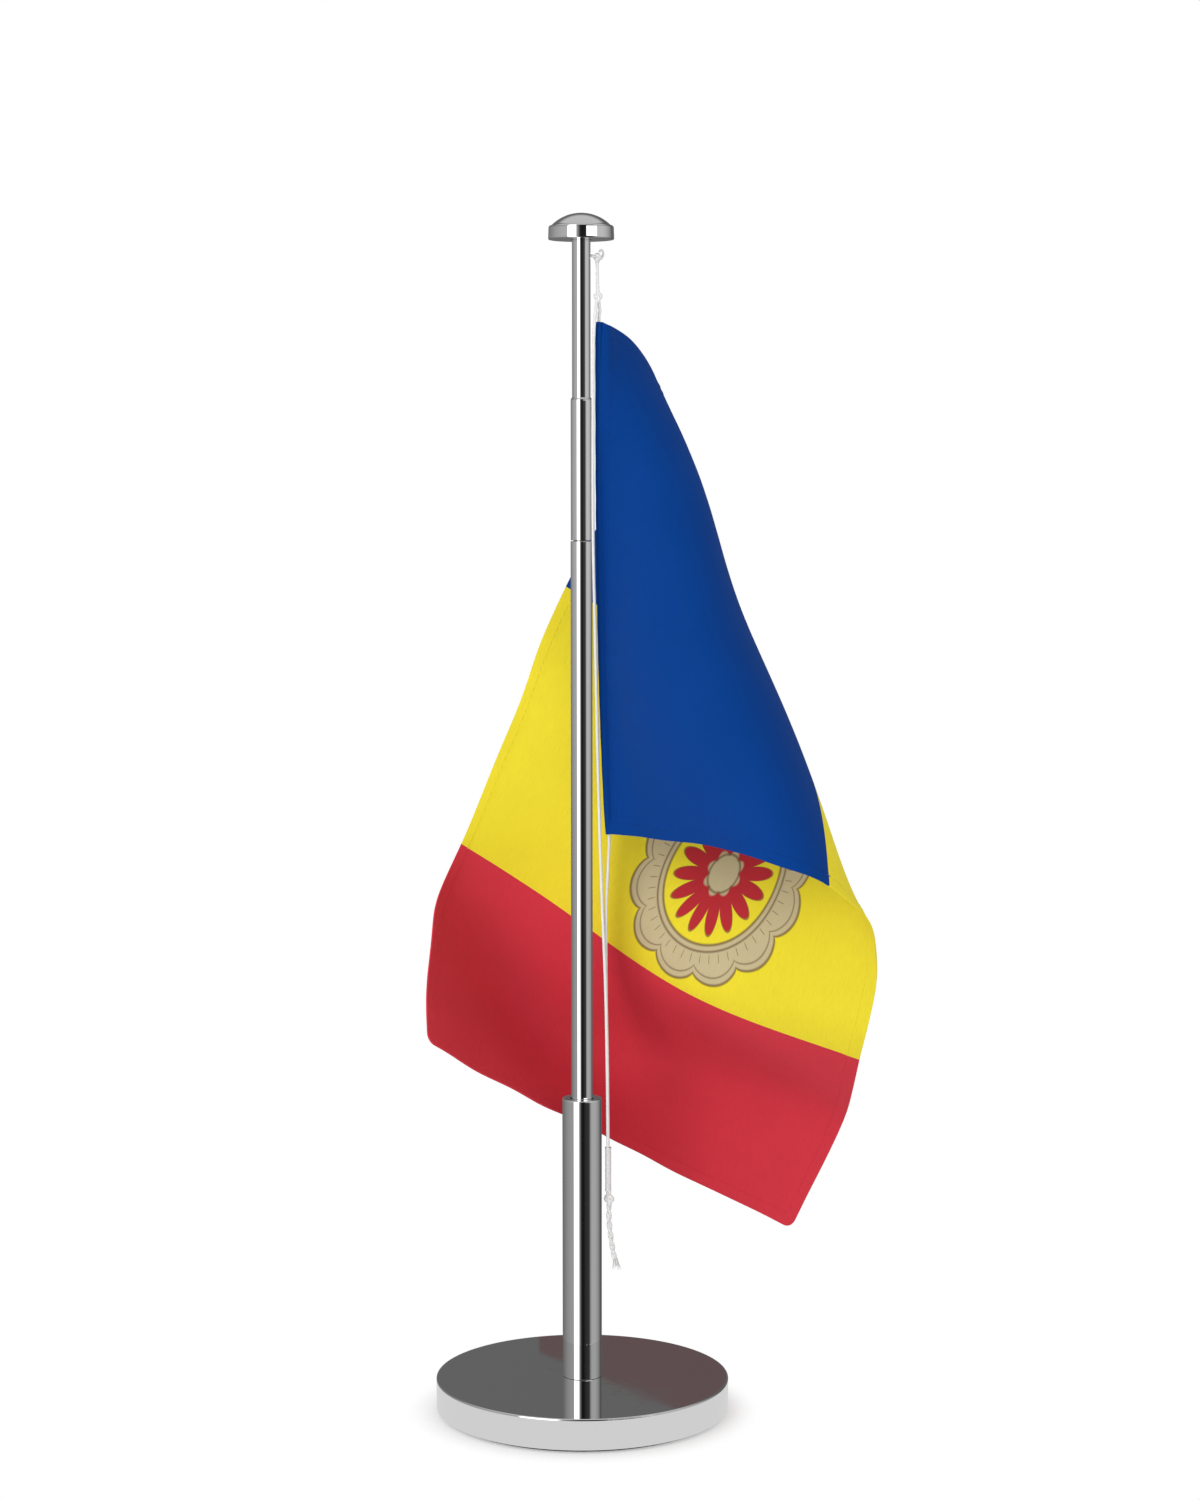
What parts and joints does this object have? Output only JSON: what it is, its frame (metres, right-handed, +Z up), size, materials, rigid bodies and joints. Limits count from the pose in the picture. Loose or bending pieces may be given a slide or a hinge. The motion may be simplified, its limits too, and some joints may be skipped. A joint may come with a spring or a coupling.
{
  "type": "desk flag stand",
  "caption": "Chromed desk flag stand: disc base, upright socket tube, telescoping mast with cap, white halyard and a three-band cloth flag hanging in soft folds.",
  "frame": {"origin": "on the desk surface, on the mast's axis, at the underside of the base pad", "axes": "+Z up along the mast; +X towards the side on which the flag hangs from the halyard; -Y towards the viewer of the flag's front fold"},
  "size_m": [0.1315, 0.0959, 0.3562],
  "materials": {
    "chrome": "polished",
    "steel": "satin",
    "brass": "satin",
    "nylon": "matte",
    "pad_foam": "matte",
    "cord": "matte",
    "sleeve": "satin",
    "hem_cloth": "matte",
    "flag_cloth": "matte"
  },
  "bodies": {
    "stand": {"base_disc": "chrome", "base_pad": "pad_foam", "base_screw": "steel", "base_washer": "steel", "socket_tube": "chrome", "foot_insert": "steel", "guide_bush": "nylon"},
    "mast_collar": {"friction_sleeve": "nylon"},
    "mast": {"mast_foot_plug": "brass", "mast_lower_tube": "chrome", "mast_stud": "steel", "mast_upper_tube": "chrome"},
    "spring_carrier": {"friction_spring": "brass"},
    "top": {"top_foot_plug": "brass", "top_tube": "chrome", "cap_stud": "steel", "cap": "chrome", "halyard_knot": "cord", "halyard_bridle": "cord", "halyard_throat": "cord", "halyard_hoist_line": "cord", "halyard_return_line": "cord", "halyard_sleeve": "sleeve", "halyard_end_knot": "cord", "halyard_tail": "cord", "flag_hem": "hem_cloth", "flag_cloth": "flag_cloth"}
  },
  "joints": [
    {"name": "mast_slide", "type": "slide", "parent": "stand", "child": "mast_collar", "axis": [0, 0, 1], "range_m": [-0.015, 0.045]},
    {"name": "mast_turn", "type": "hinge", "parent": "mast_collar", "child": "mast", "pos_m": [0, 0, 0.0366], "axis": [0, 0, 1], "continuous": true},
    {"name": "top_slide", "type": "slide", "parent": "mast", "child": "spring_carrier", "axis": [0, 0, 1], "range_m": [-0.012, 0.01]},
    {"name": "top_turn", "type": "hinge", "parent": "spring_carrier", "child": "top", "pos_m": [0, 0, 0.2865], "axis": [0, 0, 1], "continuous": true}
  ]
}
